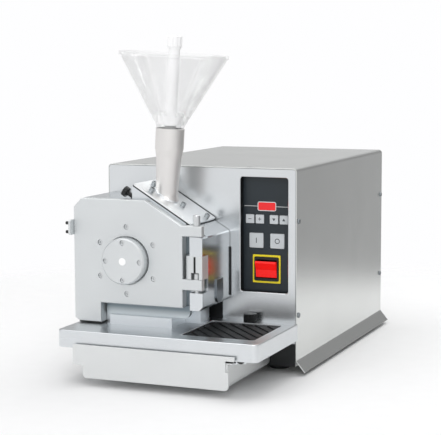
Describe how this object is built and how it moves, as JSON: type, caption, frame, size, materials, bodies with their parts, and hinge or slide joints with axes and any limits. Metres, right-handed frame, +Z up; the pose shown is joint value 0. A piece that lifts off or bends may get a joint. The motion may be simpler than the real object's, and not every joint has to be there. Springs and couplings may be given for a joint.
{
  "type": "cutting mill",
  "caption": "Bench-top cutting mill with a stainless cabinet, swing-door grinding chamber, leaning feed tube with clear funnel and pusher, control recess and collecting drawer.",
  "frame": {"origin": "on the bench under the middle of the overall bounding box", "axes": "+Z up, the front with door, deck and controls faces -Y, +X to the right seen from the front"},
  "size_m": [0.305, 0.571, 0.4566],
  "materials": {
    "stainless_brushed": "fine brushed stainless sheet",
    "stainless_satin": "satin stainless",
    "drawer_sheet": "bead-blasted stainless sheet",
    "stainless_polished": "mirror-polished stainless",
    "aluminium_blasted": "bead-blasted, clear anodised",
    "hard_steel": "ground hardened steel",
    "sieve_steel": "perforated stainless",
    "screw_steel": "turned stainless",
    "shaft_steel": "ground steel",
    "black_rubber": "matte rubber",
    "black_plastic": "fine-grained moulded",
    "black_paint": "satin black",
    "foil_dark": "embossed polyester foil",
    "key_grey": "moulded",
    "display_red": "tinted window",
    "frame_yellow": "moulded",
    "rocker_red": "moulded",
    "clear_plastic": "clear, moulded",
    "white_plastic": "turned",
    "board_green": "solder resist",
    "motor_grey": "enamel",
    "cast_grey": "machined casting",
    "coupling_alloy": "turned"
  },
  "bodies": {
    "cabinet": {"hood": "stainless_brushed", "front_panel": "stainless_brushed", "rear_panel": "stainless_brushed", "base_plate": "stainless_brushed", "deck": "stainless_brushed", "feed_tube": "stainless_satin", "outlet_base": "stainless_satin", "deck_arms": "stainless_satin", "chamber_body": "stainless_polished", "pivot_block": "aluminium_blasted", "chamber_ring": "hard_steel", "fixed_knives": "hard_steel", "side_tab": "hard_steel", "sieve": "sieve_steel", "cover_screws": "screw_steel", "flange_screws": "screw_steel", "hinge_pins": "screw_steel", "bearings": "shaft_steel", "rubber_feet": "black_rubber", "deck_mat": "black_rubber", "chamber_seal": "black_rubber", "feed_gasket": "black_rubber", "control_tray": "black_plastic", "arm_caps": "black_plastic", "switch_housing": "black_plastic", "mains_inlet": "black_plastic", "lower_front_plate": "black_paint", "control_foil": "foil_dark", "display_window": "display_red", "switch_frame": "frame_yellow", "control_board": "board_green", "motor_body": "motor_grey", "motor_bracket": "motor_grey", "bearing_housing": "cast_grey"},
    "door": {"door": "aluminium_blasted", "door_liner": "hard_steel", "door_boss": "aluminium_blasted", "boss_cap": "white_plastic", "door_screws": "screw_steel", "door_glide": "black_plastic", "latch_plate": "stainless_satin", "latch_pins": "black_plastic"},
    "rotor": {"main_shaft": "shaft_steel", "rotor": "hard_steel", "rotor_knives": "hard_steel", "coupling": "coupling_alloy", "motor_shaft": "shaft_steel", "fan": "black_plastic"},
    "drawer": {"drawer": "drawer_sheet"},
    "rocker": {"switch_rocker": "rocker_red"},
    "start_key": {"key_start": "key_grey"},
    "stop_key": {"key_stop": "key_grey"},
    "key_1": {"key_small_1": "key_grey"},
    "key_2": {"key_small_2": "key_grey"},
    "key_3": {"key_small_3": "key_grey"},
    "key_4": {"key_small_4": "key_grey"},
    "funnel": {"funnel": "clear_plastic"},
    "pusher": {"pusher": "white_plastic"},
    "thumb_knob": {"thumb_knob": "black_plastic"},
    "deck_knob": {"deck_knob": "black_plastic"}
  },
  "joints": [
    {"name": "door_swing", "type": "hinge", "parent": "cabinet", "child": "door", "pos_m": [0.0335, -0.217, 0.15], "axis": [0, 0, 1], "range_deg": [0, 120]},
    {"name": "rotor_spin", "type": "hinge", "parent": "cabinet", "child": "rotor", "pos_m": [-0.0655, -0.1275, 0.1595], "axis": [0, -1, 0], "continuous": true},
    {"name": "drawer_slide", "type": "slide", "parent": "cabinet", "child": "drawer", "axis": [0, -1, 0], "range_m": [0, 0.14]},
    {"name": "rocker_tilt", "type": "hinge", "parent": "cabinet", "child": "rocker", "pos_m": [0.09325, -0.1135, 0.1417], "axis": [-1, 0, 0], "range_deg": [0, 12]},
    {"name": "start_press", "type": "slide", "parent": "cabinet", "child": "start_key", "axis": [0, 1, 0], "range_m": [0, 0.0004], "stiffness_N_per_m": 2000},
    {"name": "stop_press", "type": "slide", "parent": "cabinet", "child": "stop_key", "axis": [0, 1, 0], "range_m": [0, 0.0004], "stiffness_N_per_m": 2000},
    {"name": "key_1_press", "type": "slide", "parent": "cabinet", "child": "key_1", "axis": [0, 1, 0], "range_m": [0, 0.0004], "stiffness_N_per_m": 2000},
    {"name": "key_2_press", "type": "slide", "parent": "cabinet", "child": "key_2", "axis": [0, 1, 0], "range_m": [0, 0.0004], "stiffness_N_per_m": 2000},
    {"name": "key_3_press", "type": "slide", "parent": "cabinet", "child": "key_3", "axis": [0, 1, 0], "range_m": [0, 0.0004], "stiffness_N_per_m": 2000},
    {"name": "key_4_press", "type": "slide", "parent": "cabinet", "child": "key_4", "axis": [0, 1, 0], "range_m": [0, 0.0004], "stiffness_N_per_m": 2000},
    {"name": "funnel_lift", "type": "slide", "parent": "cabinet", "child": "funnel", "axis": [0.0645, 0, 0.9979], "range_m": [0, 0.03]},
    {"name": "pusher_lift", "type": "slide", "parent": "funnel", "child": "pusher", "axis": [0.0645, 0, 0.9979], "range_m": [0, 0.12]},
    {"name": "thumb_knob_turn", "type": "hinge", "parent": "cabinet", "child": "thumb_knob", "pos_m": [-0.0745, -0.1995, 0.2475], "axis": [-0.8554, 0, 0.518], "range_deg": [-180, 180]},
    {"name": "deck_knob_turn", "type": "hinge", "parent": "cabinet", "child": "deck_knob", "pos_m": [0.0775, -0.138, 0.0714], "axis": [0, 0, 1], "range_deg": [-180, 180]}
  ]
}
